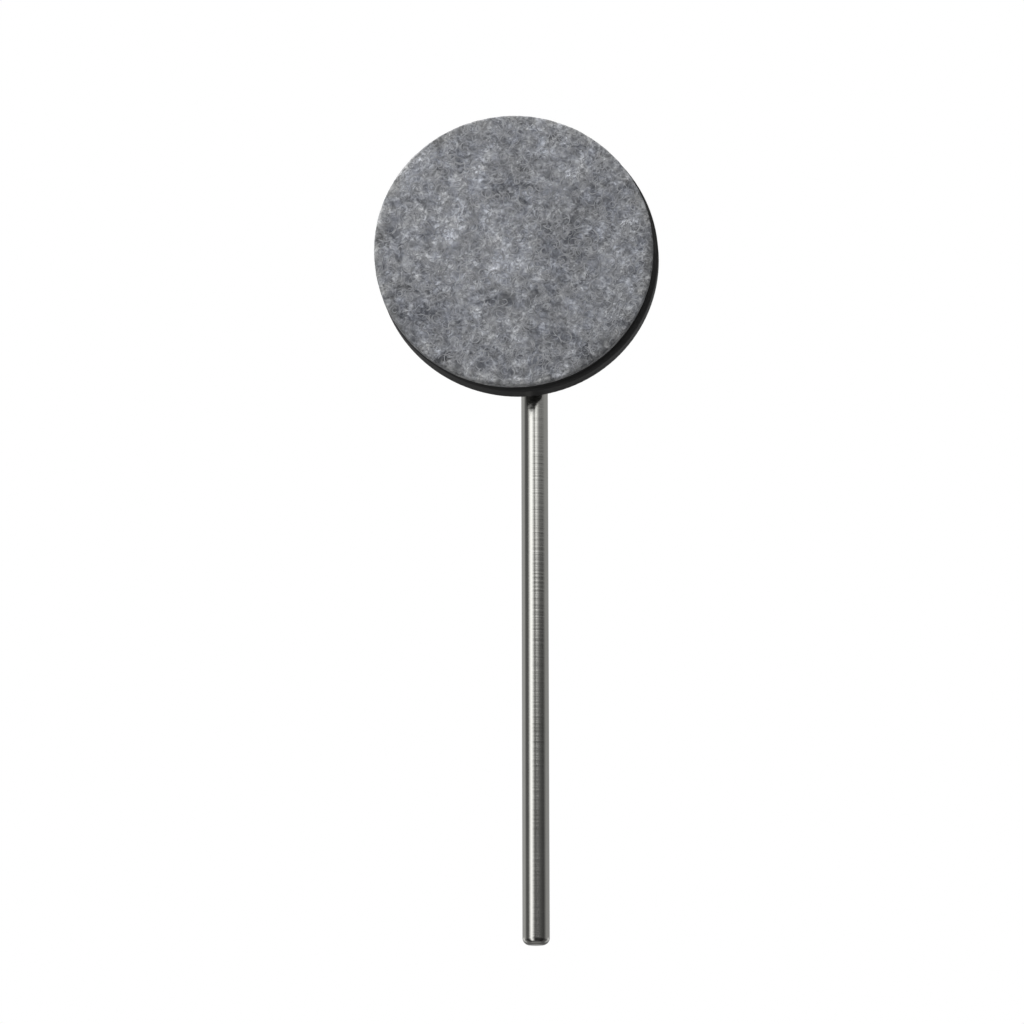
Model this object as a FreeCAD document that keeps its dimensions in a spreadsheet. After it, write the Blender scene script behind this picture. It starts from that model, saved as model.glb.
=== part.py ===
# A bass drum beater: a felt-faced disc head, clamped on a round steel rod.
# Millimetres. +Z runs up the rod and the felt faces -Y.
# The origin lies on the rod's axis, where a pedal's clamp grips it.
import FreeCAD, Part
import Sketcher
import enum
import math
import os

SIZES = {
    # the rod, and how far its grip and its head lie from the origin
    "rod_diameter": 8.0,
    "rod_end_round": 2.1,
    "clamp_height": 25.0,
    "head_height": 180.0,
    "seat_diameter": 7.0,
    "seat_reach": 6.0,
    "seat_chamfer": 0.6,
    "groove_width": 4.0,
    "groove_depth": 0.75,
    # the head's layers, from the felt back to the shell
    "head_diameter": 84.6,
    "felt_inset": 0.7,
    "felt_thickness": 3.0,
    "felt_edge_round": 0.4,
    "glue_inset": 2.5,
    "glue_thickness": 0.2,
    "cushion_inset": 0.9,
    "cushion_thickness": 3.0,
    # how far to the left of the rod the shell's middle lies, and the felt and its cushion to the left of that
    "head_offset": 4.75,
    "pad_offset": 1.35,
    # the moulded shell
    "shell_depth": 6.8,
    "shell_front_wall": 2.6,
    "shell_rim_wall": 2.4,
    "shell_draft": 0.4,
    "shell_edge_round": 1.0,
    "shell_corner_round": 1.5,
    "boss_diameter": 42.0,
    "rib_count": 8,
    "rib_thickness": 2.0,
    "rib_inset": 1.0,
    # the turned hub, whose flange is let into the shell's back and whose bore takes the rod
    "head_standoff": 7.2,
    "hub_diameter": 20.0,
    "hub_tail": 9.5,
    "hub_chamfer": 1.0,
    "hub_corner_round": 0.8,
    "flange_diameter": 36.0,
    "flange_thickness": 3.0,
    "flange_recess": 1.8,
    "flange_chamfer": 0.6,
    "spigot_diameter": 16.0,
    "spigot_length": 1.5,
    "spot_face_diameter": 10.0,
    "spot_face_depth": 1.0,
    # the screws that hold the hub on the shell
    "screw_count": 4,
    "screw_circle": 28.0,
    "screw_diameter": 3.0,
    "screw_reach": 3.5,
    "screw_head_diameter": 5.4,
    "screw_head_height": 2.0,
    "screw_key": 2.0,
    "screw_key_depth": 1.1,
    # the set screw that clamps the rod
    "set_screw_diameter": 5.0,
    "set_screw_length": 6.5,
    "set_screw_point_diameter": 3.4,
    "set_screw_point_length": 1.5,
    "set_screw_chamfer": 0.4,
    "set_screw_key": 2.5,
    "set_screw_key_depth": 2.5,
    # room between pieces
    "fit_clearance": 0.03,
    "end_clearance": 0.05,
    "hole_clearance": 0.2,
    "blind_clearance": 0.5,
}

doc = FreeCAD.newDocument("BassDrumBeater")
sheet = doc.addObject("Spreadsheet::Sheet", "Sizes")
for row, (alias, value) in enumerate(SIZES.items(), start=1):
    sheet.set(f"A{row}", alias)
    sheet.set(f"B{row}", str(value))
    sheet.setAlias(f"B{row}", alias)
doc.recompute()

# places that several pieces share, as expressions on the sheet
ROD_RADIUS = "Sizes.rod_diameter / 2"
SEAT_RADIUS = "Sizes.seat_diameter / 2"
GROOVE_RADIUS = f"({SEAT_RADIUS} - Sizes.groove_depth)"
HUB_RADIUS = "Sizes.hub_diameter / 2"
HUB_SEAT = "(Sizes.head_standoff + Sizes.flange_recess)"
HUB_LENGTH = f"({HUB_SEAT} + Sizes.hub_tail)"
SPOT_FACE = f"({HUB_RADIUS} - Sizes.spot_face_depth)"
SHOULDER = f"(Sizes.clamp_height + Sizes.head_height - {SPOT_FACE} - Sizes.end_clearance)"
HEAD_CENTRE = "(Sizes.clamp_height + Sizes.head_height)"
PLATE_BACK = "(Sizes.shell_depth - Sizes.shell_front_wall)"
SHELL_FRONT = "(Sizes.head_standoff + Sizes.shell_depth)"
CUSHION_BACK = f"({SHELL_FRONT} + Sizes.glue_thickness)"
CUSHION_FRONT = f"({CUSHION_BACK} + Sizes.cushion_thickness)"
FELT_BACK = f"({CUSHION_FRONT} + Sizes.glue_thickness)"
HEAD_ASIDE = "Sizes.head_offset"
HEAD_RADIUS = "Sizes.head_diameter / 2"
FELT_DIAMETER = "(Sizes.head_diameter - 2 * Sizes.felt_inset)"
PAD_ASIDE = f"({HEAD_ASIDE} + Sizes.pad_offset)"
CUSHION_DIAMETER = "(Sizes.head_diameter - 2 * Sizes.cushion_inset)"
GLUE_DIAMETER = "(Sizes.head_diameter - 2 * Sizes.glue_inset)"
# the first screw lies halfway between up and sideways, so that the rod leaves room for the key
SCREW_PLACE = "(Sizes.screw_circle / 2 * cos(45))"

# a head piece is modelled along its own Z, which points out through the felt
FACING_FELT = FreeCAD.Rotation(FreeCAD.Vector(1, 0, 0), 90)


class Sketch(enum.IntEnum):
    """A sketch's own axes, and the places on a piece of its geometry, as constraints number them."""

    HORIZONTAL = -1
    VERTICAL = -2
    START = 1
    END = 2
    CENTRE = 3


# a hexagon's first corner in degrees, which keeps all six corners off the sketch's axes
KEY_TURN = 15


def is_zero(expression):
    return expression == "0"


def new_body(name):
    body = doc.addObject("PartDesign::Body", name)
    body.Label = name
    return body


def origin_feature(body, role):
    return next(f for f in body.Origin.OriginFeatures if f.Role == role)


def new_sketch(body, name, plane, offset="0", shift="0"):
    """An empty sketch on one of the body's own planes, lifted off it and shifted along its own X."""
    sketch = body.newObject("Sketcher::SketchObject", name)
    sketch.AttachmentSupport = [(origin_feature(body, plane), "")]
    sketch.MapMode = "FlatFace"
    if not is_zero(offset):
        sketch.setExpression("AttachmentOffset.Base.z", offset)
    if not is_zero(shift):
        sketch.setExpression("AttachmentOffset.Base.x", shift)
    return sketch


def number(expression):
    """The value of an expression on the sheet."""
    return float(sheet.evalExpression(expression))


def pin_point(sketch, geometry, point, x, y):
    """Ties one point of the sketch to a place given by two expressions."""
    for kind, axis, expression in (
        ("DistanceX", Sketch.VERTICAL, x),
        ("DistanceY", Sketch.HORIZONTAL, y),
    ):
        if is_zero(expression):
            sketch.addConstraint(Sketcher.Constraint("PointOnObject", geometry, point, axis))
            continue
        constraint = Sketcher.Constraint(
            kind, Sketch.HORIZONTAL, Sketch.START, geometry, point, number(expression)
        )
        index = sketch.addConstraint(constraint)
        sketch.setExpression(f"Constraints[{index}]", expression)


def draw_outline(sketch, corners):
    """A closed outline of straight lines through corners given as pairs of expressions."""
    points = [FreeCAD.Vector(number(x), number(y), 0) for x, y in corners]
    for start, end in zip(points, points[1:] + points[:1]):
        sketch.addGeometry(Part.LineSegment(start, end), False)
    count = len(corners)
    for i in range(count):
        following = (i + 1) % count
        meet = Sketcher.Constraint("Coincident", i, Sketch.END, following, Sketch.START)
        sketch.addConstraint(meet)
    for i, (x, y) in enumerate(corners):
        pin_point(sketch, i, Sketch.START, x, y)


def draw_circle(sketch, diameter, x="0", y="0"):
    centre = FreeCAD.Vector(number(x), number(y), 0)
    circle = Part.Circle(centre, FreeCAD.Vector(0, 0, 1), number(diameter) / 2)
    geometry = sketch.addGeometry(circle, False)
    pin_point(sketch, geometry, Sketch.CENTRE, x, y)
    index = sketch.addConstraint(Sketcher.Constraint("Diameter", geometry, number(diameter)))
    sketch.setExpression(f"Constraints[{index}]", diameter)


def draw_hexagon(sketch, key, x="0", y="0"):
    """A hexagon for a key of this width across its flats."""
    reach = f"{key} / sqrt(3)"
    corners = []
    for i in range(6):
        turn = KEY_TURN + 60 * i
        corners.append((f"{x} + {reach} * cos({turn})", f"{y} + {reach} * sin({turn})"))
    draw_outline(sketch, corners)


def revolve(body, name, sketch):
    """Turns a sketch on the XZ plane about the body's Z axis."""
    feature = body.newObject("PartDesign::Revolution", name)
    feature.Profile = sketch
    feature.ReferenceAxis = (sketch, ["V_Axis"])
    feature.Angle = 360
    doc.recompute()
    return feature


def extrude(body, kind, name, sketch, length, reverse=False):
    """A pad or a pocket of the sketch, whose length is an expression."""
    feature = body.newObject(f"PartDesign::{kind}", name)
    feature.Profile = sketch
    feature.Type = "Length"
    feature.Reversed = reverse
    feature.setExpression("Length", length)
    volume = body.Shape.Volume if kind == "Pocket" else None
    doc.recompute()
    if volume is not None and not body.Shape.Volume < volume - 1e-6:
        raise RuntimeError(f"{body.Label}: {name} cuts nothing")
    return feature


def repeat(body, name, features, count, sketch=None):
    """Copies of the features, evenly spaced about the body's Z axis or about a sketch's normal."""
    pattern = body.newObject("PartDesign::PolarPattern", name)
    pattern.Originals = features
    pattern.Axis = (sketch, ["N_Axis"]) if sketch else (origin_feature(body, "Z_Axis"), [""])
    pattern.Angle = 360
    pattern.setExpression("Occurrences", count)
    body.Tip = pattern
    doc.recompute()
    return pattern


def round_edges(shape, radius, height, x):
    """The names of a shape's full circles of this radius, centred at this height and this far along X."""
    names = []
    for i, edge in enumerate(shape.Edges, start=1):
        curve = edge.Curve
        if not isinstance(curve, Part.Circle):
            continue
        on_axis = math.hypot(curve.Center.x - number(x), curve.Center.y) < 1e-6
        right_size = abs(curve.Radius - number(radius)) < 1e-4
        if on_axis and right_size and abs(curve.Center.z - number(height)) < 1e-4:
            names.append(f"Edge{i}")
    return names


def soften(body, kind, name, size, places, x="0"):
    """A fillet or chamfer on round edges given as pairs of radius and height expressions."""
    base = body.Tip
    edges = [e for radius, height in places for e in round_edges(base.Shape, radius, height, x)]
    if len(edges) != len(places):
        raise RuntimeError(f"{body.Label}: {name} found {len(edges)} of {len(places)} edges")
    feature = body.newObject(f"PartDesign::{kind}", name)
    feature.Base = (base, edges)
    feature.setExpression("Radius" if kind == "Fillet" else "Size", size)
    doc.recompute()
    return feature


def place_on_head(body, forward, aside="0"):
    """Puts a head piece at the head's height, this far forward of the rod's axis and to its left."""
    body.Placement = FreeCAD.Placement(FreeCAD.Vector(0, 0, 0), FACING_FELT)
    body.setExpression("Placement.Base.x", f"-({aside})")
    body.setExpression("Placement.Base.y", f"-({forward})")
    body.setExpression("Placement.Base.z", "Sizes.head_height")


def make_rod():
    """The steel rod: a plain shank, and a thinner seat with a groove that the head turns on."""
    body = new_body("rod")
    seat_end = f"({HEAD_CENTRE} + Sizes.seat_reach)"
    profile = new_sketch(body, "rod_profile", "XZ_Plane")
    draw_outline(
        profile,
        [
            ("0", "0"),
            (ROD_RADIUS, "0"),
            (ROD_RADIUS, SHOULDER),
            (SEAT_RADIUS, SHOULDER),
            (SEAT_RADIUS, seat_end),
            ("0", seat_end),
        ],
    )
    revolve(body, "rod_turning", profile)
    soften(body, "Fillet", "rod_end", "Sizes.rod_end_round", [(ROD_RADIUS, "0")])
    soften(body, "Chamfer", "rod_lead", "Sizes.seat_chamfer", [(SEAT_RADIUS, seat_end)])

    groove = new_sketch(body, "groove_profile", "XZ_Plane")
    low = f"({HEAD_CENTRE} - Sizes.groove_width / 2)"
    high = f"({HEAD_CENTRE} + Sizes.groove_width / 2)"
    draw_outline(
        groove,
        [(GROOVE_RADIUS, low), (ROD_RADIUS, low), (ROD_RADIUS, high), (GROOVE_RADIUS, high)],
    )
    cut = body.newObject("PartDesign::Groove", "clamp_groove")
    cut.Profile = groove
    cut.ReferenceAxis = (groove, ["V_Axis"])
    cut.Angle = 360
    volume = body.Shape.Volume
    doc.recompute()
    if not body.Shape.Volume < volume - 1e-6:
        raise RuntimeError("rod: the groove cuts nothing")
    body.setExpression("Placement.Base.z", "-Sizes.clamp_height")
    return body


def make_hub():
    """The turned hub: a spigot and flange against the shell, and a cross bore for the rod."""
    body = new_body("hub")
    flange_radius = "Sizes.flange_diameter / 2"
    flange_back = "-Sizes.flange_thickness"
    spigot_radius = "Sizes.spigot_diameter / 2"
    tail = f"-{HUB_LENGTH}"
    profile = new_sketch(body, "hub_profile", "XZ_Plane")
    draw_outline(
        profile,
        [
            ("0", "Sizes.spigot_length"),
            (spigot_radius, "Sizes.spigot_length"),
            (spigot_radius, "0"),
            (flange_radius, "0"),
            (flange_radius, flange_back),
            (HUB_RADIUS, flange_back),
            (HUB_RADIUS, tail),
            ("0", tail),
        ],
    )
    revolve(body, "hub_turning", profile)
    soften(body, "Fillet", "hub_corner", "Sizes.hub_corner_round", [(HUB_RADIUS, flange_back)])
    soften(body, "Chamfer", "hub_tail_edge", "Sizes.hub_chamfer", [(HUB_RADIUS, tail)])
    soften(body, "Chamfer", "flange_edge", "Sizes.flange_chamfer", [(flange_radius, flange_back)])

    spot_face = new_sketch(body, "spot_face_outline", "XZ_Plane", HUB_RADIUS)
    draw_circle(spot_face, "Sizes.spot_face_diameter", "0", f"-{HUB_SEAT}")
    extrude(body, "Pocket", "spot_face", spot_face, "Sizes.spot_face_depth")

    bore = new_sketch(body, "rod_bore_outline", "XZ_Plane", HUB_RADIUS)
    bore_diameter = "Sizes.seat_diameter + 2 * Sizes.fit_clearance"
    draw_circle(bore, bore_diameter, "0", f"-{HUB_SEAT}")
    bore_depth = f"{HUB_RADIUS} + Sizes.seat_reach + Sizes.blind_clearance"
    extrude(body, "Pocket", "rod_bore", bore, bore_depth)

    thread = new_sketch(body, "set_screw_outline", "XY_Plane", tail)
    draw_circle(thread, "Sizes.set_screw_diameter + 2 * Sizes.fit_clearance")
    extrude(body, "Pocket", "set_screw_hole", thread, "Sizes.hub_tail", reverse=True)

    hole = new_sketch(body, "flange_hole_outline", "XY_Plane")
    hole_diameter = "Sizes.screw_diameter + 2 * Sizes.hole_clearance"
    draw_circle(hole, hole_diameter, SCREW_PLACE, SCREW_PLACE)
    pocket = extrude(body, "Pocket", "flange_hole", hole, "Sizes.flange_thickness")
    repeat(body, "flange_holes", [pocket], "Sizes.screw_count")
    place_on_head(body, HUB_SEAT)
    return body


def make_set_screw():
    """The set screw: a dog point that reaches into the rod's groove, and a hexagon socket."""
    body = new_body("set_screw")
    radius = "Sizes.set_screw_diameter / 2"
    point_radius = "Sizes.set_screw_point_diameter / 2"
    neck = "-Sizes.set_screw_point_length"
    tail = "-Sizes.set_screw_length"
    profile = new_sketch(body, "set_screw_profile", "XZ_Plane")
    draw_outline(
        profile,
        [
            ("0", "0"),
            (point_radius, "0"),
            (point_radius, neck),
            (radius, neck),
            (radius, tail),
            ("0", tail),
        ],
    )
    revolve(body, "set_screw_turning", profile)
    ends = [(radius, neck), (radius, tail)]
    soften(body, "Chamfer", "set_screw_ends", "Sizes.set_screw_chamfer", ends)
    socket = new_sketch(body, "set_screw_socket", "XY_Plane", tail)
    draw_hexagon(socket, "Sizes.set_screw_key")
    extrude(body, "Pocket", "key_socket", socket, "Sizes.set_screw_key_depth", reverse=True)
    place_on_head(body, f"-({GROOVE_RADIUS} + Sizes.end_clearance)")
    return body


def make_head_shell():
    """The moulded shell: a front plate, a drafted rim, ribs, and a boss in line with the rod for the hub."""
    body = new_body("head_shell")
    front = f"({HEAD_RADIUS} - Sizes.shell_draft)"
    inner = f"({HEAD_RADIUS} - Sizes.shell_rim_wall)"
    corner = f"({inner} - Sizes.shell_draft * {PLATE_BACK} / Sizes.shell_depth)"
    boss_radius = "Sizes.boss_diameter / 2"
    profile = new_sketch(body, "shell_profile", "XZ_Plane")
    draw_outline(
        profile,
        [
            ("0", "Sizes.shell_depth"),
            (front, "Sizes.shell_depth"),
            (HEAD_RADIUS, "0"),
            (inner, "0"),
            (corner, PLATE_BACK),
            ("0", PLATE_BACK),
        ],
    )
    revolve(body, "shell_turning", profile)
    soften(body, "Fillet", "shell_corner", "Sizes.shell_corner_round", [(corner, PLATE_BACK)])
    edges = [(front, "Sizes.shell_depth"), (HEAD_RADIUS, "0")]
    soften(body, "Fillet", "shell_edges", "Sizes.shell_edge_round", edges)

    boss = new_sketch(body, "boss_outline", "XY_Plane", shift=HEAD_ASIDE)
    draw_circle(boss, "Sizes.boss_diameter")
    extrude(body, "Pad", "boss", boss, PLATE_BACK)
    foot = [(boss_radius, PLATE_BACK)]
    soften(body, "Fillet", "boss_foot", "Sizes.shell_corner_round", foot, HEAD_ASIDE)

    rib = new_sketch(body, "rib_outline", "XY_Plane", "Sizes.rib_inset")
    inside_boss = f"{boss_radius} - Sizes.head_offset - Sizes.rib_thickness"
    middle_of_rim = f"{HEAD_RADIUS} - Sizes.shell_rim_wall / 2"
    draw_outline(
        rib,
        [
            (inside_boss, "-Sizes.rib_thickness / 2"),
            (middle_of_rim, "-Sizes.rib_thickness / 2"),
            (middle_of_rim, "Sizes.rib_thickness / 2"),
            (inside_boss, "Sizes.rib_thickness / 2"),
        ],
    )
    rib_height = f"{PLATE_BACK} - Sizes.rib_inset + Sizes.shell_front_wall / 2"
    pad = extrude(body, "Pad", "rib", rib, rib_height)
    repeat(body, "ribs", [pad], "Sizes.rib_count")

    seat = new_sketch(body, "hub_seat_outline", "XY_Plane", shift=HEAD_ASIDE)
    draw_circle(seat, "Sizes.flange_diameter + 2 * Sizes.hole_clearance")
    extrude(body, "Pocket", "hub_seat", seat, "Sizes.flange_recess", reverse=True)

    spigot = new_sketch(body, "spigot_hole_outline", "XY_Plane", "Sizes.flange_recess", HEAD_ASIDE)
    draw_circle(spigot, "Sizes.spigot_diameter + 2 * Sizes.hole_clearance")
    spigot_depth = "Sizes.spigot_length + Sizes.blind_clearance"
    extrude(body, "Pocket", "spigot_hole", spigot, spigot_depth, reverse=True)

    pilot = new_sketch(body, "pilot_outline", "XY_Plane", "Sizes.flange_recess", HEAD_ASIDE)
    pilot_diameter = "Sizes.screw_diameter + 2 * Sizes.fit_clearance"
    draw_circle(pilot, pilot_diameter, SCREW_PLACE, SCREW_PLACE)
    pilot_depth = "Sizes.screw_reach + Sizes.blind_clearance"
    hole = extrude(body, "Pocket", "pilot_hole", pilot, pilot_depth, reverse=True)
    repeat(body, "pilot_holes", [hole], "Sizes.screw_count", pilot)
    place_on_head(body, "Sizes.head_standoff", HEAD_ASIDE)
    return body


def make_hub_screws():
    """The screws that hold the hub on the shell: round heads with hexagon sockets."""
    body = new_body("hub_screws")
    body.AllowCompound = True
    under_head = "-Sizes.flange_thickness"
    top = "-(Sizes.flange_thickness + Sizes.screw_head_height)"
    shank_length = "Sizes.flange_thickness + Sizes.screw_reach"

    head = new_sketch(body, "screw_head_outline", "XY_Plane", top)
    draw_circle(head, "Sizes.screw_head_diameter", SCREW_PLACE, SCREW_PLACE)
    head_pad = extrude(body, "Pad", "screw_head", head, "Sizes.screw_head_height")
    shank = new_sketch(body, "screw_shank_outline", "XY_Plane", under_head)
    draw_circle(shank, "Sizes.screw_diameter", SCREW_PLACE, SCREW_PLACE)
    shank_pad = extrude(body, "Pad", "screw_shank", shank, shank_length)
    socket = new_sketch(body, "screw_socket", "XY_Plane", top)
    draw_hexagon(socket, "Sizes.screw_key", SCREW_PLACE, SCREW_PLACE)
    key = extrude(body, "Pocket", "screw_key", socket, "Sizes.screw_key_depth", reverse=True)
    repeat(body, "all_screws", [head_pad, shank_pad, key], "Sizes.screw_count")
    place_on_head(body, HUB_SEAT)
    return body


def make_disc(name, diameter, thickness, forward, aside):
    """A flat round layer of the head, from its back face forward."""
    body = new_body(name)
    outline = new_sketch(body, f"{name}_outline", "XY_Plane")
    draw_circle(outline, diameter)
    extrude(body, "Pad", f"{name}_sheet", outline, thickness)
    place_on_head(body, forward, aside)
    return body


def make_felt_pad():
    """The felt disc that meets the drum, with its front edge worn a little round."""
    body = make_disc("felt_pad", FELT_DIAMETER, "Sizes.felt_thickness", FELT_BACK, PAD_ASIDE)
    edge = (f"{FELT_DIAMETER} / 2", "Sizes.felt_thickness")
    soften(body, "Fillet", "felt_edge", "Sizes.felt_edge_round", [edge])
    return body


def check(parts):
    """Stops the build if any object failed or any piece has no sound solid."""
    for item in doc.Objects:
        if "Invalid" in item.State or "Error" in item.State:
            raise RuntimeError(f"{item.Label} failed: {item.State}")
    for part in parts:
        if part.Shape.isNull() or not part.Shape.isValid() or not part.Shape.Solids:
            raise RuntimeError(f"{part.Label} has no valid solid")


parts = [
    make_rod(),
    make_hub(),
    make_set_screw(),
    make_head_shell(),
    make_hub_screws(),
    make_disc("cushion_adhesive", GLUE_DIAMETER, "Sizes.glue_thickness", SHELL_FRONT, HEAD_ASIDE),
    make_disc("cushion_disc", CUSHION_DIAMETER, "Sizes.cushion_thickness", CUSHION_BACK, PAD_ASIDE),
    make_disc("felt_adhesive", GLUE_DIAMETER, "Sizes.glue_thickness", CUSHION_FRONT, PAD_ASIDE),
    make_felt_pad(),
]
doc.recompute()
check(parts)

os.makedirs("parts", exist_ok=True)
for part in parts:
    part.Shape.exportStep(f"parts/{part.Label}.step")
    box = part.Shape.BoundBox
    print(
        f"{part.Label}: {len(part.Shape.Solids)} solid(s), {part.Shape.Volume:.1f} mm3,",
        f"x {box.XMin:.2f}..{box.XMax:.2f} y {box.YMin:.2f}..{box.YMax:.2f}",
        f"z {box.ZMin:.2f}..{box.ZMax:.2f}",
    )
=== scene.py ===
# %% [markdown]
# # A bass drum beater
# The real object is a steel rod that carries a wide disc, faced with grey felt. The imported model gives
# every rigid piece at its real size, so this lesson only dresses it: it makes the felt as a soft piece,
# gives each surface its finish, and sets up the camera and the light.

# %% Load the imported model
import math
import random

import bpy
from mathutils import Matrix, Vector, noise


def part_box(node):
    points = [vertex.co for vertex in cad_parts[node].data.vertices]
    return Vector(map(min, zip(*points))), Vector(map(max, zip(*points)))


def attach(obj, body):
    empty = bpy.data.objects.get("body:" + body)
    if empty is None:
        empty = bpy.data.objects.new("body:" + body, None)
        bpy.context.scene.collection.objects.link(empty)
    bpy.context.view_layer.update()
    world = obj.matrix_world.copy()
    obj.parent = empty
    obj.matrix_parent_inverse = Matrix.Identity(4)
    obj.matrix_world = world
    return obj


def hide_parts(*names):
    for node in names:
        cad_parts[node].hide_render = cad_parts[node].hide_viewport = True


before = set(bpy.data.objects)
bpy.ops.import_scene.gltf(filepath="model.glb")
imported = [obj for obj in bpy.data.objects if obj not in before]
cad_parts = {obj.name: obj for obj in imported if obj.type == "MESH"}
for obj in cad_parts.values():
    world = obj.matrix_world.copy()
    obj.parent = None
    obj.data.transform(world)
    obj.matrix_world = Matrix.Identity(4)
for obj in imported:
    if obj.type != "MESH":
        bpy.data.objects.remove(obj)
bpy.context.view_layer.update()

MM = 0.001

# %% [markdown]
# ## Shader maths as Python
# A finish is a small tree of nodes. Placing dozens of Math nodes by hand hides what they work out, so one
# class wraps a socket and lets Python's own operators add the Math nodes. Every other node comes from one
# method, which takes the node's type, its settings and what goes into its sockets.

# %% A socket that can be added and multiplied, and a tree that adds nodes
# A soft step is written as its edge and its softness, which is how far it reaches to either side.
# EDGE_LEAN is one: how far a rounded normal leans from the plain one where an edge counts as worn.
NOISE_MIDDLE = 0.5
EDGE_LEAN = (0.08, 0.07)
BEVEL_SAMPLES = 6


class Socket:
    """One output of a node. An operator on it adds a Math node."""

    def __init__(self, nodes, socket):
        self.nodes = nodes
        self.socket = socket

    def math(self, operation, *terms):
        inputs = dict(enumerate(terms))
        return self.nodes.add("Math", {"operation": operation}, inputs)

    def __add__(self, other):
        return self.math("ADD", self, other)

    def __radd__(self, other):
        return self.math("ADD", other, self)

    def __sub__(self, other):
        return self.math("SUBTRACT", self, other)

    def __rsub__(self, other):
        return self.math("SUBTRACT", other, self)

    def __mul__(self, other):
        return self.math("MULTIPLY", self, other)

    def __rmul__(self, other):
        return self.math("MULTIPLY", other, self)

    def __truediv__(self, other):
        return self.math("DIVIDE", self, other)

    def __pow__(self, other):
        return self.math("POWER", self, other)

    def __abs__(self):
        return self.math("ABSOLUTE", self)

    def clipped(self):
        """The same value, kept from 0 to 1."""
        kept = self + 0.0
        kept.socket.node.use_clamp = True
        return kept

    def sibling(self, name):
        """Another output of the same node."""
        return Socket(self.nodes, self.socket.node.outputs[name])

    def above(self, edge, softness):
        """A soft step: 0 below the edge and 1 above it."""
        settings = {"interpolation_type": "SMOOTHSTEP"}
        inputs = {"Value": self, "From Min": edge - softness, "From Max": edge + softness}
        return self.nodes.add("MapRange", settings, inputs)


def find_socket(sockets, key):
    """One of a node's sockets by its identifier, or else by its name or its number."""
    return next((s for s in sockets if s.identifier == key), None) or sockets[key]


class Nodes:
    """The node tree of a material or of the world."""

    def __init__(self, owner):
        owner.use_nodes = True
        self.tree = owner.node_tree
        self.tree.nodes.clear()

    def add(self, kind, settings=None, inputs=None, output=0):
        """Adds a node: its settings, then its sockets' values or links. Gives one of its outputs."""
        node = self.tree.nodes.new(f"ShaderNode{kind}")
        for name, value in (settings or {}).items():
            setattr(node, name, value)
        for key, value in (inputs or {}).items():
            socket = find_socket(node.inputs, key)
            if isinstance(value, Socket):
                self.tree.links.new(value.socket, socket)
            else:
                socket.default_value = value
        if not node.outputs:
            return None
        return Socket(self, find_socket(node.outputs, output))

    def mix(self, factor, first, second, blend="MIX"):
        """A blend of two colours."""
        settings = {"data_type": "RGBA", "blend_type": blend}
        inputs = {"Factor_Float": factor, "A_Color": first, "B_Color": second}
        return self.add("Mix", settings, inputs, output="Result_Color")

    def tinted(self, colour, tint):
        """A colour multiplied by another."""
        return self.mix(1.0, colour, tint, blend="MULTIPLY")

    def dot(self, point, way):
        """How far a point lies along a direction."""
        settings = {"operation": "DOT_PRODUCT"}
        return self.add("VectorMath", settings, {0: point, 1: way}, output="Value")

    def place(self, stretch=(1, 1, 1), shift=(0, 0, 0)):
        """Where a point lies on the object, in millimetres, stretched and shifted."""
        point = self.add("TexCoord", output="Object")
        scale = [s / MM for s in stretch]
        settings = {"operation": "MULTIPLY_ADD"}
        return self.add("VectorMath", settings, {0: point, 1: scale, 2: shift})

    def reach(self, centre):
        """How far a point of the head lies from an axis through the centre, in millimetres."""
        from_centre = self.place(stretch=(1, 0, 1), shift=(-centre.x / MM, 0, -centre.z / MM))
        return self.add("VectorMath", {"operation": "LENGTH"}, {0: from_centre}, output="Value")

    def noise(self, point, size, detail=2.0, distortion=0.0):
        """Smooth noise from 0 to 1, whose lumps are about this many units across."""
        inputs = {"Vector": point, "Scale": 1 / size, "Detail": detail, "Distortion": distortion}
        return self.add("TexNoise", None, inputs)

    def bump(self, height, distance):
        """A normal that follows a height from 0 to 1, which stands for a distance in millimetres."""
        return self.add("Bump", None, {"Height": height, "Distance": distance * MM})

    def worn_edge(self, width):
        """1 along the sharp edges of a piece and 0 on its flats, over a width in millimetres."""
        rounded = self.add("Bevel", {"samples": BEVEL_SAMPLES}, {"Radius": width * MM})
        plain = self.add("NewGeometry", output="Normal")
        return (1 - self.dot(rounded, plain)).above(*EDGE_LEAN)


def new_finish(name):
    material = bpy.data.materials.new(name)
    return material, Nodes(material)


def shade(nodes, **inputs):
    """Ends a finish in one Principled shader, whose sockets are named with underscores."""
    values = {name.replace("_", " "): value for name, value in inputs.items()}
    surface = nodes.add("BsdfPrincipled", None, values)
    nodes.add("OutputMaterial", None, {"Surface": surface})


def grey(level, warmth=0.0):
    """A neutral colour with its red raised and its blue lowered by the warmth."""
    return (level * (1 + warmth), level, level * (1 - warmth), 1)


print("Shader tools are ready")

# %% [markdown]
# ## The camera
# The photograph looks straight at the felt from a little below the head, through a long lens. Only the
# right and lower parts of the black edge show, because the camera is below and the felt is glued on a
# little to the left. The angles were found by fitting the rod's two edges, the felt's outline and the
# black edge behind it.

# %% Place the camera
CAMERA_AZIMUTH = math.radians(0.374)
CAMERA_ELEVATION = math.radians(-11.949)
CAMERA_ROLL = math.radians(-0.097)
CAMERA_DISTANCE = 1.2
CAMERA_TARGET = Vector((-6.836, 0.0, 104.343)) * MM
SENSOR_WIDTH = 36.0
FOCAL_PIXELS = 4017.2
IMAGE_PIXELS = 1024


def outward(azimuth, elevation):
    """The direction from the object to a place, by its turn to the right of the front and its height."""
    level_part = math.cos(elevation)
    return Vector(
        (
            math.sin(azimuth) * level_part,
            -math.cos(azimuth) * level_part,
            math.sin(elevation),
        )
    )


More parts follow.
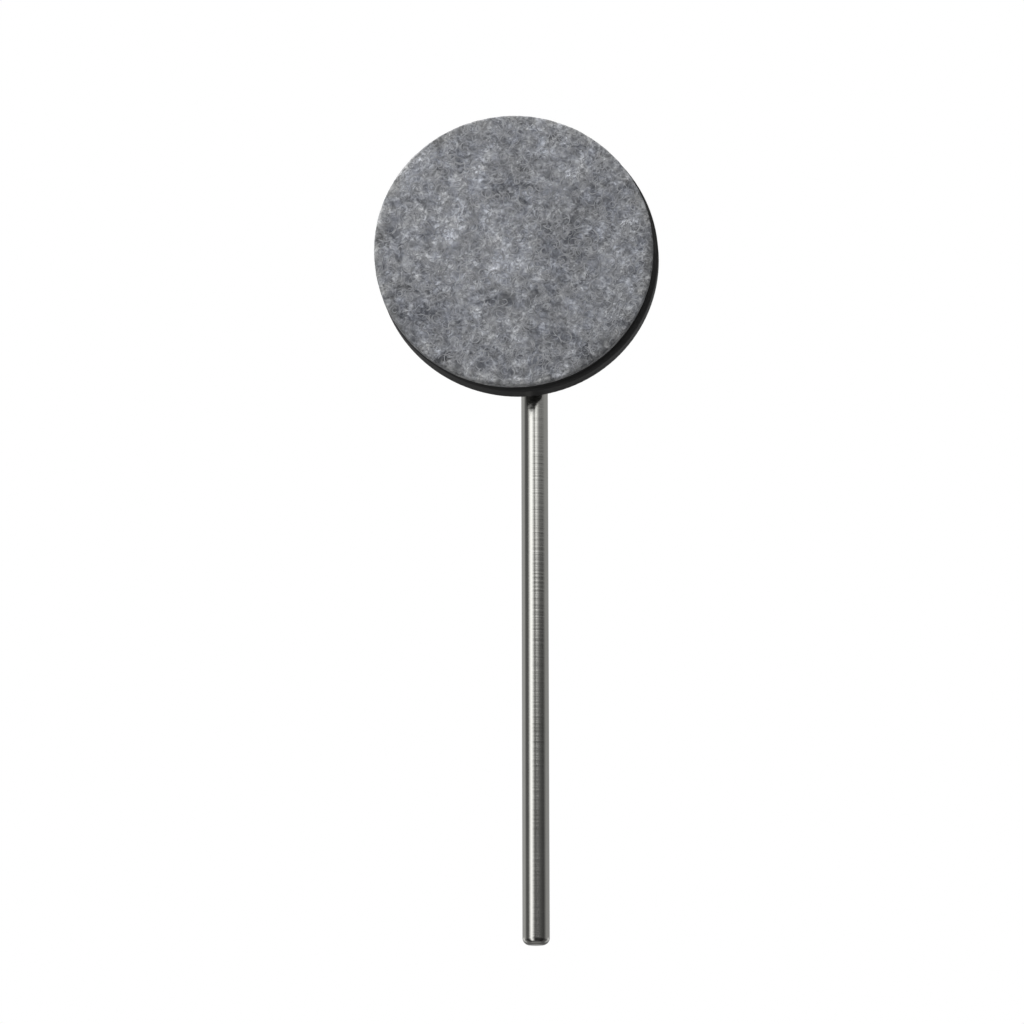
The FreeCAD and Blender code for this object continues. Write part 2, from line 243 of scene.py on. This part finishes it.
camera_back = outward(CAMERA_AZIMUTH, CAMERA_ELEVATION)
level_right = (-camera_back).cross(Vector((0, 0, 1))).normalized()
level_up = level_right.cross(-camera_back)
camera_right = level_right * math.cos(CAMERA_ROLL) + level_up * math.sin(CAMERA_ROLL)
camera_up = level_up * math.cos(CAMERA_ROLL) - level_right * math.sin(CAMERA_ROLL)
camera_turn = Matrix((camera_right, camera_up, camera_back)).transposed().to_4x4()

lens = bpy.data.cameras.new("camera")
lens.sensor_width = SENSOR_WIDTH
lens.lens = FOCAL_PIXELS / IMAGE_PIXELS * SENSOR_WIDTH
camera = bpy.data.objects.new("camera", lens)
camera_place = CAMERA_TARGET + camera_back * CAMERA_DISTANCE
camera.matrix_world = Matrix.Translation(camera_place) @ camera_turn
scene = bpy.context.scene
scene.collection.objects.link(camera)
scene.camera = camera
print("Camera lens in mm:", round(lens.lens, 1))

# %% [markdown]
# ## The room
# Polished steel has hardly any look of its own: it shows the room. The bright edges of the rod show a
# pale wall behind the object, its dark stripes a dim room in front, and its white stripes two soft boxes.
# More boxes stand low and high behind the object, so that it looks round from the back as well. A picture
# of a room could be wrapped round the scene, or each thing be built as a lamp, but soft steps on the
# direction of a ray do the same, and each edge is as soft as it needs to be. The camera itself sees plain
# white.

# %% Make the room that the steel shows
scene.view_settings.view_transform = "Standard"

# How bright each thing is, where 1 looks white
AMBIENT = 0.42
LEFT_WALL = 0.46
RIGHT_WALL = 0.36
DIM_ROOM = 0.12
HIGH_WINDOW = 0.25
TALL_BOX = 1.6
HIGH_STRIP = 1.95
BACK_BOXES = 0.5
PALE_FLOOR = 0.11
# How much of its light the dark corner loses, and how much of it the room keeps below
DARK_CORNER = 0.45
BELOW = 0.35

# Where each thing starts or ends, as a soft step: by a ray's turn to the right in degrees, or by its
# rise, which is 1 straight up
LEFT_WALL_TURN = (-97, 12)
RIGHT_WALL_TURN = (85, 18)
DARK_CORNER_TURN = (45, 20)
BACK_WALL_TURN = (155, 25)
WINDOW_TURN = (28, 10)
WINDOW_RISE = (0.211, 0.01)
ROOM_RISE = (-0.25, 0.1)
FLOOR_RISE = (-0.9, 0.05)
TALL_BOX_RISE = (-0.8, 0.08)
STRIP_LEFT_TURN = (4, 8)
STRIP_RIGHT_TURN = (22, 20)
STRIP_RISE = (0.2, 0.055)
BACK_BOX_HALF_WIDTH = (12, 8)
BACK_BOX_FOOT_RISE = (-0.6, 0.15)
LOW_BOX_TOP_RISE = (0.02, 0.08)
HIGH_BOX_FOOT_RISE = (0.38, 0.08)

# The back boxes stand at this turn on both sides. The tall box leans over and widens towards its top.
BACK_BOX_TURN = 130
TALL_BOX_TURN = -39
TALL_BOX_HALF_WIDTH = 13
TALL_BOX_SOFTNESS = 16
LEAN_FROM_RISE = 0.08
LEAN_ZERO_RISE = 0.1
TALL_BOX_LEAN = 70
TALL_BOX_WIDENING = 40

world = bpy.data.worlds.new("studio")
scene.world = world
air = Nodes(world)
is_camera = air.add("LightPath", output="Is Camera Ray")
is_glossy = is_camera.sibling("Is Glossy Ray")
is_transmission = is_camera.sibling("Is Transmission Ray")
ray = air.add("TexCoord", output="Generated")
to_right = air.add("SeparateXYZ", None, {"Vector": ray})
to_back = to_right.sibling("Y")
rise = to_right.sibling("Z")
ray_turn = to_right.math("ARCTAN2", to_right, 0 - to_back) * math.degrees(1)

at_left = 1 - ray_turn.above(*LEFT_WALL_TURN)
at_right = ray_turn.above(*RIGHT_WALL_TURN)
room = DIM_ROOM * (1 - DARK_CORNER * ray_turn.above(*DARK_CORNER_TURN))
room = room + HIGH_WINDOW * ray_turn.above(*WINDOW_TURN) * rise.above(*WINDOW_RISE)
# Straight behind the object the two walls meet at one brightness
evened = abs(ray_turn).above(*BACK_WALL_TURN) * ((LEFT_WALL - RIGHT_WALL) / 2)
walls = (LEFT_WALL - evened) * at_left + (RIGHT_WALL + evened) * at_right
room = room * (1 - at_left - at_right) + walls
room = room * (rise.above(*ROOM_RISE) * (1 - BELOW) + BELOW)
room = room + PALE_FLOOR * (1 - rise.above(*FLOOR_RISE))

lean = rise.math("MAXIMUM", rise, LEAN_FROM_RISE) - LEAN_ZERO_RISE
from_tall_box = abs(ray_turn - TALL_BOX_TURN - TALL_BOX_LEAN * lean)
box_half_width = TALL_BOX_HALF_WIDTH + TALL_BOX_WIDENING * lean
tall_box = 1 - from_tall_box.above(box_half_width, TALL_BOX_SOFTNESS)
tall_box = tall_box * rise.above(*TALL_BOX_RISE)
high_strip = ray_turn.above(*STRIP_LEFT_TURN) * (1 - ray_turn.above(*STRIP_RIGHT_TURN))
high_strip = high_strip * rise.above(*STRIP_RISE)
from_back_box = abs(abs(ray_turn) - BACK_BOX_TURN)
between_boxes = rise.above(*LOW_BOX_TOP_RISE) * (1 - rise.above(*HIGH_BOX_FOOT_RISE))
back_boxes = (1 - from_back_box.above(*BACK_BOX_HALF_WIDTH)) * (1 - between_boxes)
back_boxes = back_boxes * rise.above(*BACK_BOX_FOOT_RISE)

steel_sees = room + TALL_BOX * tall_box + HIGH_STRIP * high_strip + BACK_BOXES * back_boxes
light = is_glossy * (steel_sees - AMBIENT) + AMBIENT
sees_white = (is_camera + is_transmission).clipped()
strength = sees_white * (1 - light) + light
sky = air.add("Background", None, {"Color": (1, 1, 1, 1), "Strength": strength})
air.add("OutputWorld", None, {"Surface": sky})
print("World nodes:", len(air.tree.nodes))

# %% [markdown]
# ## The lamps
# Felt and black rubber have no mirror in them, so real lamps light them: a tall soft box to the left of
# the camera, a small lamp near the upper left that makes that side lighter, and one above that rakes
# across the wool. The steel already shows its room, so it does not show the lamps again. The floor lies
# far below, and a little glow that only the camera sees keeps it pale.

# %% Hang the lamps and lay the floor
# Each lamp: its turn to the right and its height in degrees, its distance and its sides in metres, and
# how bright its face is, where 1 looks white.
LAMPS = {
    "tall_box": (-30, 12, 1.5, (0.72, 2.2), 1.6),
    "near_lamp": (-50, 35, 0.45, (0.2, 0.2), 4.0),
    "top_lamp": (-25, 68, 0.6, (0.3, 0.2), 4.0),
}
FLOOR_HEIGHT = -0.45
FLOOR_REACH = 15.0
FLOOR_PALE = 0.75
FLOOR_GREY = grey(0.8)

felt_low, felt_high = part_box("felt_pad")
felt_centre = (felt_low + felt_high) / 2
felt_radius = (felt_high.x - felt_low.x) / 2


def soft_box(name, azimuth, elevation, distance, sides, brightness):
    """A rectangular lamp that faces the felt."""
    lamp = bpy.data.lights.new(name, "AREA")
    lamp.shape = "RECTANGLE"
    lamp.size, lamp.size_y = sides
    lamp.energy = brightness * math.pi * sides[0] * sides[1]
    way = outward(math.radians(azimuth), math.radians(elevation))
    box = bpy.data.objects.new(name, lamp)
    box.location = felt_centre + way * distance
    box.rotation_euler = way.to_track_quat("Z", "Y").to_euler()
    box.visible_camera = False
    box.visible_glossy = False
    scene.collection.objects.link(box)


for lamp_name, lamp_row in LAMPS.items():
    soft_box(lamp_name, *lamp_row)

floor_mesh = bpy.data.meshes.new("floor")
floor_signs = ((-1, -1), (1, -1), (1, 1), (-1, 1))
floor_corners = [(x * FLOOR_REACH, y * FLOOR_REACH, FLOOR_HEIGHT) for x, y in floor_signs]
floor_mesh.from_pydata(floor_corners, [], [(0, 1, 2, 3)])
floor = bpy.data.objects.new("floor", floor_mesh)
floor.visible_glossy = False
scene.collection.objects.link(floor)
floor_paint, paint_nodes = new_finish("floor_paint")
matt = paint_nodes.add("BsdfDiffuse", None, {"Color": FLOOR_GREY})
glow = paint_nodes.add("Emission", None, {"Color": grey(1.0), "Strength": 1.0})
pale = paint_nodes.add("LightPath", output="Is Camera Ray") * FLOOR_PALE
floor_surface = paint_nodes.add("MixShader", None, {0: pale, 1: matt, 2: glow})
paint_nodes.add("OutputMaterial", None, {"Surface": floor_surface})
floor_mesh.materials.append(floor_paint)

# %% [markdown]
# ## The felt's finish
# Pressed felt is a tangle of wool. From arm's length it reads as pale curly wisps over a darker ground,
# with small dark gaps between them and wide drifts where paler or darker wool was laid. Every wisp could
# be a hair, but that is heavy to keep, so most of them are drawn: a noise passes through its middle value
# along winding lines, and lighting up only those lines gives wisps. Another noise makes them come and go,
# so that they have ends.

# %% Felt
FELT_DARK = (0.070, 0.073, 0.080, 1)
FELT_LIGHT = (0.74, 0.756, 0.797, 1)
FELT_COOL = (0.975, 0.995, 1.055, 1)
FELT_WARM = (1.02, 1.005, 0.965, 1)
FELT_TONE = 0.305
FELT_CONTRAST = 1.7
# The depth of the bumps in millimetres, and how much the wisps, the tufts and the knots each stand out
FELT_BUMP = 0.22
WISP_HEIGHT = 0.5
TUFT_HEIGHT = 0.6
KNOT_HEIGHT = 0.4

# Each noise in the wool's tone: the size of its lumps in millimetres, its detail, its distortion, where
# it starts, and how much it counts
TONE_NOISES = {
    "clouds": (10, 2.0, 0.6, (0, 0, 0), 0.38),
    "swells": (5.0, 1.0, 1.2, (9, 33, 71), 0.52),
    "tufts": (2.6, 1.0, 1.6, (31, 7, 53), 0.32),
    "knots": (1.5, 0.5, 1.0, (5, 61, 17), 0.27),
    "grain": (0.6, 0.5, 0.0, (0, 0, 0), 0.03),
}
# Each kind of wisp: where its noise starts, the size of its curls in millimetres, and how wide its lines
# are as a part of the noise's range
WISPS = (
    ((3, 1, 8), 3.2, 0.055),
    ((41, 9, 2), 2.4, 0.06),
    ((14, 77, 25), 4.0, 0.05),
    ((63, 22, 90), 2.0, 0.065),
    ((27, 50, 36), 2.8, 0.06),
)
WISP_WEIGHT = 0.15
WISP_DISTORTION = 1.5
WISP_PATCH_SIZE = 1.6
WISP_PATCH = (NOISE_MIDDLE, 0.14)
FLECK_START = (72, 18, 6)
FLECK_SIZE = 1.5
FLECK_EDGE = (0.64, 0.09)
FLECK_WEIGHT = 0.14
DYE_START = (81, 15, 4)
DYE_SIZE = 3.5
DYE_EDGE = (NOISE_MIDDLE, 0.25)
DYE_WARMTH = 0.8
# Each drift of wool, and last a crease's painted shade: its middle to the right and up from the middle of
# the felt, its half length and half width, all in millimetres, the way it leans in degrees, and how much
# paler it is than the rest
DRIFTS_AND_CREASE_SHADE = (
    (-18, 8, 30, 6, 90, 0.16),
    (-9, 14, 24, 4, -73, 0.12),
    (-3, -4, 14, 9, 90, 0.12),
    (2, -12, 9, 5, 0, 0.08),
    (-12, -20, 8, 5, 90, 0.10),
    (-35, -2, 9, 6, 90, 0.06),
    (-28, 26, 16, 12, 30, 0.10),
    (15, 28, 10, 7, 0, 0.08),
    (30, -5, 14, 8, 100, 0.14),
    (18, -20, 8, 6, 0, 0.08),
    (-2, 33, 9, 7, 0, -0.06),
    (30, 24, 10, 7, 120, -0.10),
    (34, 9, 9, 6, 100, -0.06),
    (10, 24, 7, 6, 0, -0.05),
    (15, 3, 17, 10, 90, -0.11),
    (-29, -17, 14, 12, 0, -0.16),
    (8, -33, 26, 9, 0, -0.07),
    (28, -31, 18, 10, 30, -0.10),
    # Painted shade of a small crease near the lower left edge; the face's shape has no crease
    (-20.3, -32.8, 5.0, 1.9, 21, -0.6),
)
DRIFT_EDGE = (0.5, 0.5)
# The cut corner gets a painted highlight on the side that faces the light and painted shade on the other.
# The steps are in felt radii.
LIGHT_WAY = (-0.5, 0, 0.87)
LIT_SIDE = (0.05, 0.6)
FELT_PAINTED_RIM = (0.975, 0.025)
RIM_PAINTED_SHADE = 0.1
RIM_PAINTED_HIGHLIGHT = 0.28
WARM_RIM = (0.95, 0.06)
RIM_WARMTH = 0.5


def wisps(nodes, start, size, width):
    """Thin winding lines along a noise's middle value, which come and go."""
    wave = nodes.noise(nodes.place(shift=start), size, detail=0.8, distortion=WISP_DISTORTION)
    line = 1 - abs(wave - NOISE_MIDDLE).above(width, width)
    patch = nodes.noise(nodes.place(shift=start[::-1]), size * WISP_PATCH_SIZE, detail=1.0)
    return line * patch.above(*WISP_PATCH)


def from_felt_middle(nodes, aside=0, raised=0):
    """A point's place from a place on the felt, in millimetres to the right and up from its middle."""
    return nodes.place(shift=(-felt_centre.x / MM - aside, 0, -felt_centre.z / MM - raised))


def wool_drift(nodes, aside, raised, half_length, half_width, degrees):
    """A soft oval patch, 1 in its middle and 0 beyond its edge."""
    angle = math.radians(degrees)
    point = from_felt_middle(nodes, aside, raised)
    long_way = (math.cos(angle) / half_length, 0, math.sin(angle) / half_length)
    short_way = (-math.sin(angle) / half_width, 0, math.cos(angle) / half_width)
    along = nodes.dot(point, long_way)
    across = nodes.dot(point, short_way)
    reach = (along * along + across * across) ** 0.5
    return 1 - reach.above(*DRIFT_EDGE)


def make_felt_finish():
    material, nodes = new_finish("grey_wool_felt")
    noises = {}
    tone = FELT_TONE
    for name, (size, detail, distortion, start, weight) in TONE_NOISES.items():
        noises[name] = nodes.noise(nodes.place(shift=start), size, detail, distortion)
        tone = tone + (noises[name] - NOISE_MIDDLE) * weight
    fibres = sum(wisps(nodes, *wisp) for wisp in WISPS)
    flecks = nodes.noise(nodes.place(shift=FLECK_START), FLECK_SIZE, detail=0.5, distortion=0.8)
    tone = tone + fibres * WISP_WEIGHT + flecks.above(*FLECK_EDGE) * FLECK_WEIGHT
    for *oval, paler in DRIFTS_AND_CREASE_SHADE:
        tone = tone + paler * wool_drift(nodes, *oval)

    reach = nodes.reach(felt_centre) / (felt_radius / MM)
    towards_light = nodes.dot(from_felt_middle(nodes), LIGHT_WAY) / (felt_radius / MM)
    # Painted light on the cut corner: a painted highlight towards the light, painted shade round the rest
    rim_painted_light = towards_light.above(*LIT_SIDE) * RIM_PAINTED_HIGHLIGHT - RIM_PAINTED_SHADE
    tone = tone + reach.above(*FELT_PAINTED_RIM) * rim_painted_light
    colour = nodes.mix(tone.clipped() ** FELT_CONTRAST, FELT_DARK, FELT_LIGHT)

    dye = nodes.noise(nodes.place(shift=DYE_START), DYE_SIZE, detail=3.0)
    warmth = dye.above(*DYE_EDGE) * DYE_WARMTH + reach.above(*WARM_RIM) * RIM_WARMTH
    colour = nodes.tinted(colour, nodes.mix(warmth.clipped(), FELT_COOL, FELT_WARM))
    height = fibres * WISP_HEIGHT + noises["tufts"] * TUFT_HEIGHT + noises["knots"] * KNOT_HEIGHT
    shade(
        nodes,
        Base_Color=colour,
        Roughness=0.95,
        Specular_IOR_Level=0.1,
        Sheen_Weight=0.15,
        Normal=nodes.bump(height, FELT_BUMP),
    )
    return material


felt_finish = make_felt_finish()
print("Felt finish:", len(felt_finish.node_tree.nodes), "nodes")

# %% [markdown]
# ## The felt pad
# The pad is a disc cut from a sheet, so its face is nearly flat, its cut edge is a little uneven and its
# corner is soft. A square grid folded onto a disc keeps its faces even all over, which a fan of rings
# does not, so that small lumps look alike at the middle and at the edge.

# %% Model the felt pad
FELT_GRID = 150
FELT_CORNER = 0.7 * MM
FELT_LOW = 0.25 * MM
FELT_WALL_RINGS = 4
FELT_CORNER_RINGS = 3
# Each kind of lump on the face: its height and its size in millimetres, and where its noise starts
FELT_LUMPS = ((0.10, 14, 3.1), (0.07, 4, 7.7), (0.05, 1.6, 1.9))
# How far the cut edge strays from a circle, in millimetres, with how often it does so
EDGE_WANDERS = ((0.12, 2.5), (0.08, 14))
WANDER_FADE = 4
FELT_FRAY = 0.1 * MM
FRAY_SIZE = 0.9 * MM

felt_front, felt_back = felt_low.y, felt_high.y


def disc_point(u, v):
    """Folds a point of the square from -1 to 1 onto the disc of radius 1."""
    if u == 0 and v == 0:
        return 0.0, 0.0
    if abs(u) > abs(v):
        radius, angle = u, math.pi / 4 * v / u
    else:
        radius, angle = v, math.pi / 2 - math.pi / 4 * u / v
    return radius * math.cos(angle), radius * math.sin(angle)


def felt_lift(x, z):
    """How far the face stands out at a point, in metres, from wide swells down to tufts."""
    lift = 0
    for height, size, start in FELT_LUMPS:
        point = Vector((x / (size * MM), z / (size * MM), start))
        lift += height * noise.noise(point)
    return MM * lift


def edge_wander(angle):
    """How far the cut edge strays from a true circle, in metres."""
    ring = Vector((math.cos(angle), math.sin(angle), 0))
    return MM * sum(height * noise.noise(ring * often) for height, often in EDGE_WANDERS)


def felt_face_grid():
    """The felt's face about its middle: its points, its faces, and which points lie round its rim."""
    count = FELT_GRID + 1
    inner = felt_radius - FELT_CORNER
    points, faces = [], []
    for j in range(count):
        for i in range(count):
            x, z = disc_point(2 * i / FELT_GRID - 1, 2 * j / FELT_GRID - 1)
            wander = edge_wander(math.atan2(z, x)) * math.hypot(x, z) ** WANDER_FADE
            x, z = x * (inner + wander), z * (inner + wander)
            points.append((x, felt_front + FELT_LOW - felt_lift(x, z), z))
    for j in range(FELT_GRID):
        for i in range(FELT_GRID):
            a = j * count + i
            faces.append((a, a + 1, a + count + 1, a + count))
    side = range(FELT_GRID)
    rim = list(side)
    rim += [j * count + FELT_GRID for j in side]
    rim += [FELT_GRID * count + FELT_GRID - i for i in side]
    rim += [(FELT_GRID - j) * count for j in side]
    return points, faces, rim


def felt_edge_steps():
    """The rings round the corner and down the cut edge: how far out and how deep each one lies."""
    steps = []
    for k in range(1, FELT_CORNER_RINGS + 1):
        angle = math.pi / 2 * k / FELT_CORNER_RINGS
        steps.append((FELT_CORNER * math.sin(angle), FELT_CORNER * (1 - math.cos(angle))))
    wall = felt_back - felt_front - FELT_CORNER
    for k in range(1, FELT_WALL_RINGS + 1):
        steps.append((FELT_CORNER, FELT_CORNER + wall * k / FELT_WALL_RINGS))
    return steps


def soft_piece(name, points, faces, finish):
    """A smooth mesh from points about the felt's middle, in its finish."""
    mesh = bpy.data.meshes.new(name)
    mesh.from_pydata([(x + felt_centre.x, y, z + felt_centre.z) for x, y, z in points], [], faces)
    for face in mesh.polygons:
        face.use_smooth = True
    mesh.materials.append(finish)
    piece = bpy.data.objects.new(name, mesh)
    scene.collection.objects.link(piece)
    return piece


def make_felt_pad():
    points, faces, rim = felt_face_grid()
    steps = felt_edge_steps()
    last = rim
    for out, deep in steps:
        fray = FELT_FRAY if deep < steps[-1][1] else 0
        ring = []
        for index in rim:
            x, _, z = points[index]
            length = math.hypot(x, z)
            scale = (length + out) / length
            scale += fray / length * noise.noise(Vector((x, deep, z)) / FRAY_SIZE)
            ring.append(len(points))
            points.append((x * scale, felt_front + deep, z * scale))
        for k in range(len(rim)):
            following = (k + 1) % len(rim)
            faces.append((last[following], last[k], ring[k], ring[following]))
        last = ring
    faces.append(tuple(reversed(last)))
    pad = soft_piece("felt_face", points, faces, felt_finish)
    pad.data.validate()
    return pad


felt = make_felt_pad()
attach(felt, "head")
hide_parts("felt_pad")
print("Felt pad:", len(felt.data.polygons), "faces")

# %% [markdown]
# ## The loose fibres
# Wool is curly, and the fibres that lie loose on the felt curl in small hooks and rings, a few
# millimetres across. Hair particles would do, but they do not survive an export, so each fibre is a
# narrow closed sliver with three sides. It walks over the face with a turn that slowly changes, and its
# ends sink into the felt.

# %% Lay curled fibres on the felt
FIBRE_COUNT = 900
FIBRE_STEPS = 10
FIBRE_HALF_WIDTH = 0.16 * MM
FIBRE_RISE = 0.06 * MM
FIBRE_SINK = 0.1 * MM
FIBRE_START_INSET = 0.9 * MM
FIBRE_END_INSET = 0.5 * MM
# A fibre's step and the radius of its curl in millimetres, and its rise and width as parts of the usual
# ones
STEP_RANGE = (0.35, 0.62)
CURL_RANGE = (0.7, 2.4)
RISE_RANGE = (0.5, 1.2)
WIDTH_RANGE = (0.6, 1.3)
FIBRE_WOBBLE = 0.12
FIBRE_SHARP = math.radians(100)
# A fibre's three long edges: how far each lies to the side and how far it stands out, in half widths
FIBRE_EDGES = ((-1, 0), (0, 0.5), (1, 0))
FIBRE_PALE = (0.36, 0.367, 0.387, 1)
FIBRE_DULL = (0.22, 0.225, 0.237, 1)
FIBRE_PATCH = (NOISE_MIDDLE, 0.2)


def make_fibre_finish():
    material, nodes = new_finish("loose_wool")
    patches = nodes.noise(nodes.place(), size=2.2, detail=2.0)
    colour = nodes.mix(patches.above(*FIBRE_PATCH), FIBRE_DULL, FIBRE_PALE)
    shade(nodes, Base_Color=colour, Roughness=0.9, Specular_IOR_Level=0.1, Sheen_Weight=0.2)
    return material


def fibre_path(dice):
    """Points along one curled fibre, from the middle of the felt, in metres."""
    reach = (felt_radius - FIBRE_START_INSET) * math.sqrt(dice.random())
    start = dice.uniform(0, 2 * math.pi)
    x, z = reach * math.cos(start), reach * math.sin(start)
    heading = dice.uniform(0, 2 * math.pi)
    step = dice.uniform(*STEP_RANGE) * MM
    curl = dice.choice((-1, 1)) * step / (dice.uniform(*CURL_RANGE) * MM)
    path = []
    for _ in range(FIBRE_STEPS + 1):
        path.append((x, z, heading))
        heading += curl + dice.gauss(0, FIBRE_WOBBLE)
        x += step * math.cos(heading)
        z += step * math.sin(heading)
        if math.hypot(x, z) > felt_radius - FIBRE_END_INSET:
            break
    return path


def make_fibres():
    dice = random.Random(11)
    points, faces = [], []
    for _ in range(FIBRE_COUNT):
        path = fibre_path(dice)
        lift = FIBRE_RISE * dice.uniform(*RISE_RANGE) + FIBRE_SINK
        width = FIBRE_HALF_WIDTH * dice.uniform(*WIDTH_RANGE)
        for k, (x, z, heading) in enumerate(path):
            along = math.sin(math.pi * k / max(len(path) - 1, 1))
            side_x, side_z = -math.sin(heading) * width, math.cos(heading) * width
            face_y = felt_front + FELT_LOW - felt_lift(x, z)
            for across, bulge in FIBRE_EDGES:
                y = face_y + FIBRE_SINK - lift * along**0.5 - bulge * width
                points.append((x + across * side_x, y, z + across * side_z))
            a = len(points) - 3
            if k == 0:
                faces.append((a, a + 1, a + 2))
                continue
            for here, beside in ((a, a + 1), (a + 1, a + 2), (a + 2, a)):
                faces.append((here, beside, beside - 3, here - 3))
        faces.append((a + 2, a + 1, a))
    fibres = soft_piece("felt_fibres", points, faces, make_fibre_finish())
    fibres.data.set_sharp_from_angle(angle=FIBRE_SHARP)
    return fibres


felt_fibres = make_fibres()
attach(felt_fibres, "head")
print("Loose fibres:", FIBRE_COUNT, "with", len(felt_fibres.data.polygons), "faces")

# %% [markdown]
# ## The black edge
# Behind the felt lie a rubber cushion and the moulded shell. Both are black, and only the shell's fine
# grain and its rounded back edge catch a little light. The shell's edges are painted paler, partly as
# rubbing wear and partly as a painted highlight.

# %% Black rubber and black plastic
RUBBER_GREYS = (grey(0.015), grey(0.026))
PLASTIC_GREYS = (grey(0.022), grey(0.036))
PLASTIC_RUBBED_AND_HIGHLIGHT = grey(0.075)
PLASTIC_ROUGHNESS = 0.42
RUBBED_AND_HIGHLIGHT_PATCH = (NOISE_MIDDLE, 0.2)


def make_rubber_finish():
    material, nodes = new_finish("black_rubber_sheet")
    point = nodes.place()
    dust = nodes.noise(point, size=2.5, detail=4.0)
    grain = nodes.noise(point, size=0.4, detail=2.0)
    shade(
        nodes,
        Base_Color=nodes.mix(dust, *RUBBER_GREYS),
        Roughness=0.85,
        Specular_IOR_Level=0.2,
        Normal=nodes.bump(grain, distance=0.05),
    )
    return material


def make_plastic_finish():
    material, nodes = new_finish("black_moulded_plastic")
    point = nodes.place()
    dust = nodes.noise(point, size=6, detail=4.0)
    grain = nodes.noise(point, size=0.35, detail=3.0)
    # Paler edges: partly rubbing wear and partly a painted highlight along the shell's edges
    rubbed_and_highlight = nodes.worn_edge(width=0.4) * nodes.noise(point, size=4, detail=3.0).above(*RUBBED_AND_HIGHLIGHT_PATCH)
    colour = nodes.mix(dust, *PLASTIC_GREYS)
    shade(
        nodes,
        Base_Color=nodes.mix(rubbed_and_highlight * 0.5, colour, PLASTIC_RUBBED_AND_HIGHLIGHT),
        Roughness=nodes.noise(point, size=3, detail=3.0) * 0.2 + PLASTIC_ROUGHNESS - 0.1 * rubbed_and_highlight,
        Specular_IOR_Level=0.2,
        Normal=nodes.bump(grain, distance=0.04),
    )
    return material


def dress(node, material):
    """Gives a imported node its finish."""
    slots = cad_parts[node].data.materials
    slots.clear()
    slots.append(material)


dress("cushion_disc", make_rubber_finish())
dress("head_shell", make_plastic_finish())

# %% [markdown]
# ## The steel rod
# The rod was ground round and round, so its surface is covered in very fine rings. They break up the
# edges of the bright stripe into small ticks, and leave it sharp from side to side.

# %% Ground steel
STEEL_COLOURS = ((0.56, 0.557, 0.525, 1), (0.64, 0.637, 0.605, 1))
STEEL_ROUGHNESS = 0.09
# A noise pressed along the rod and drawn out across it makes rings
RING_STRETCH = (0.03, 0.03, 1)


def make_steel_finish():
    material, nodes = new_finish("ground_steel")
    point = nodes.place(stretch=RING_STRETCH)
    rings = nodes.noise(point, size=0.4, detail=1.0)
    bands = nodes.noise(point, size=1.1, detail=1.0)
    patches = nodes.noise(nodes.place(), size=9, detail=3.0)
    shade(
        nodes,
        Base_Color=nodes.mix(patches, *STEEL_COLOURS),
        Metallic=1.0,
        Roughness=rings * 0.05 + patches * 0.05 + STEEL_ROUGHNESS,
        Normal=nodes.bump(rings * 0.4 + bands * 0.9, distance=0.016),
    )
    return material


dress("rod", make_steel_finish())

# %% [markdown]
# ## The hub and its screws
# The hub is turned from aluminium, so it has fine rings about its own axis, on its flat faces as well as
# on its barrel. A noise that reads only how far a point lies from that axis and how deep it lies gives
# both. The screws are blackened steel, rubbed bright along their edges by the key.

# %% Aluminium, dark steel and glue
ALUMINIUM_GREYS = (grey(0.54), grey(0.74))
ALUMINIUM_WORN = grey(0.85)
ALUMINIUM_ROUGHNESS = 0.2
ALUMINIUM_BAND = (NOISE_MIDDLE, 0.25)
DARK_STEEL_GREYS = (grey(0.035), grey(0.075, 0.02))
DARK_STEEL_WORN = grey(0.4, 0.01)
DARK_STEEL_ROUGHNESS = 0.32
DARK_STEEL_PATCH = (0.45, 0.15)
GLUE_COLOURS = ((0.30, 0.25, 0.16, 1), (0.42, 0.37, 0.25, 1))


def make_aluminium_finish():
    material, nodes = new_finish("turned_aluminium")
    screw_low, screw_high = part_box("set_screw")
    depth = nodes.add("SeparateXYZ", None, {"Vector": nodes.place()}, output="Y")
    from_axis = nodes.reach((screw_low + screw_high) / 2)
    turned = nodes.add("CombineXYZ", None, {"X": from_axis, "Y": depth})
    rings = nodes.noise(turned, size=0.3, detail=2.0)
    bands = nodes.noise(turned, size=0.9, detail=1.0)
    patches = nodes.noise(nodes.place(), size=7, detail=3.0)
    worn = nodes.worn_edge(width=0.35)
    uneven = (bands * 0.8 + patches * 0.2).above(*ALUMINIUM_BAND)
    colour = nodes.mix(uneven, *ALUMINIUM_GREYS)
    uneven_roughness = rings * 0.12 + bands * 0.1 + patches * 0.06
    shade(
        nodes,
        Base_Color=nodes.mix(worn * 0.5, colour, ALUMINIUM_WORN),
        Metallic=1.0,
        Roughness=uneven_roughness + ALUMINIUM_ROUGHNESS - 0.08 * worn,
        Normal=nodes.bump(rings, distance=0.02),
    )
    return material


def make_dark_steel_finish():
    material, nodes = new_finish("blackened_steel")
    patches = nodes.noise(nodes.place(), size=1.5, detail=4.0)
    worn = nodes.worn_edge(width=0.2) * patches.above(*DARK_STEEL_PATCH)
    colour = nodes.mix(patches, *DARK_STEEL_GREYS)
    colour = nodes.mix(worn * 0.7, colour, DARK_STEEL_WORN)
    shade(nodes, Base_Color=colour, Metallic=1.0, Roughness=patches * 0.2 + DARK_STEEL_ROUGHNESS)
    return material


def make_glue_finish():
    material, nodes = new_finish("glue_sheet")
    patches = nodes.noise(nodes.place(), size=2, detail=3.0)
    colour = nodes.mix(patches, *GLUE_COLOURS)
    shade(nodes, Base_Color=colour, Roughness=0.5, Normal=nodes.bump(patches, distance=0.05))
    return material


dark_steel = make_dark_steel_finish()
glue = make_glue_finish()
dress("hub", make_aluminium_finish())
for fastener in ("hub_screws", "set_screw"):
    dress(fastener, dark_steel)
for sheet in ("cushion_adhesive", "felt_adhesive"):
    dress(sheet, glue)
print("Dressed nodes:", sorted(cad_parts))
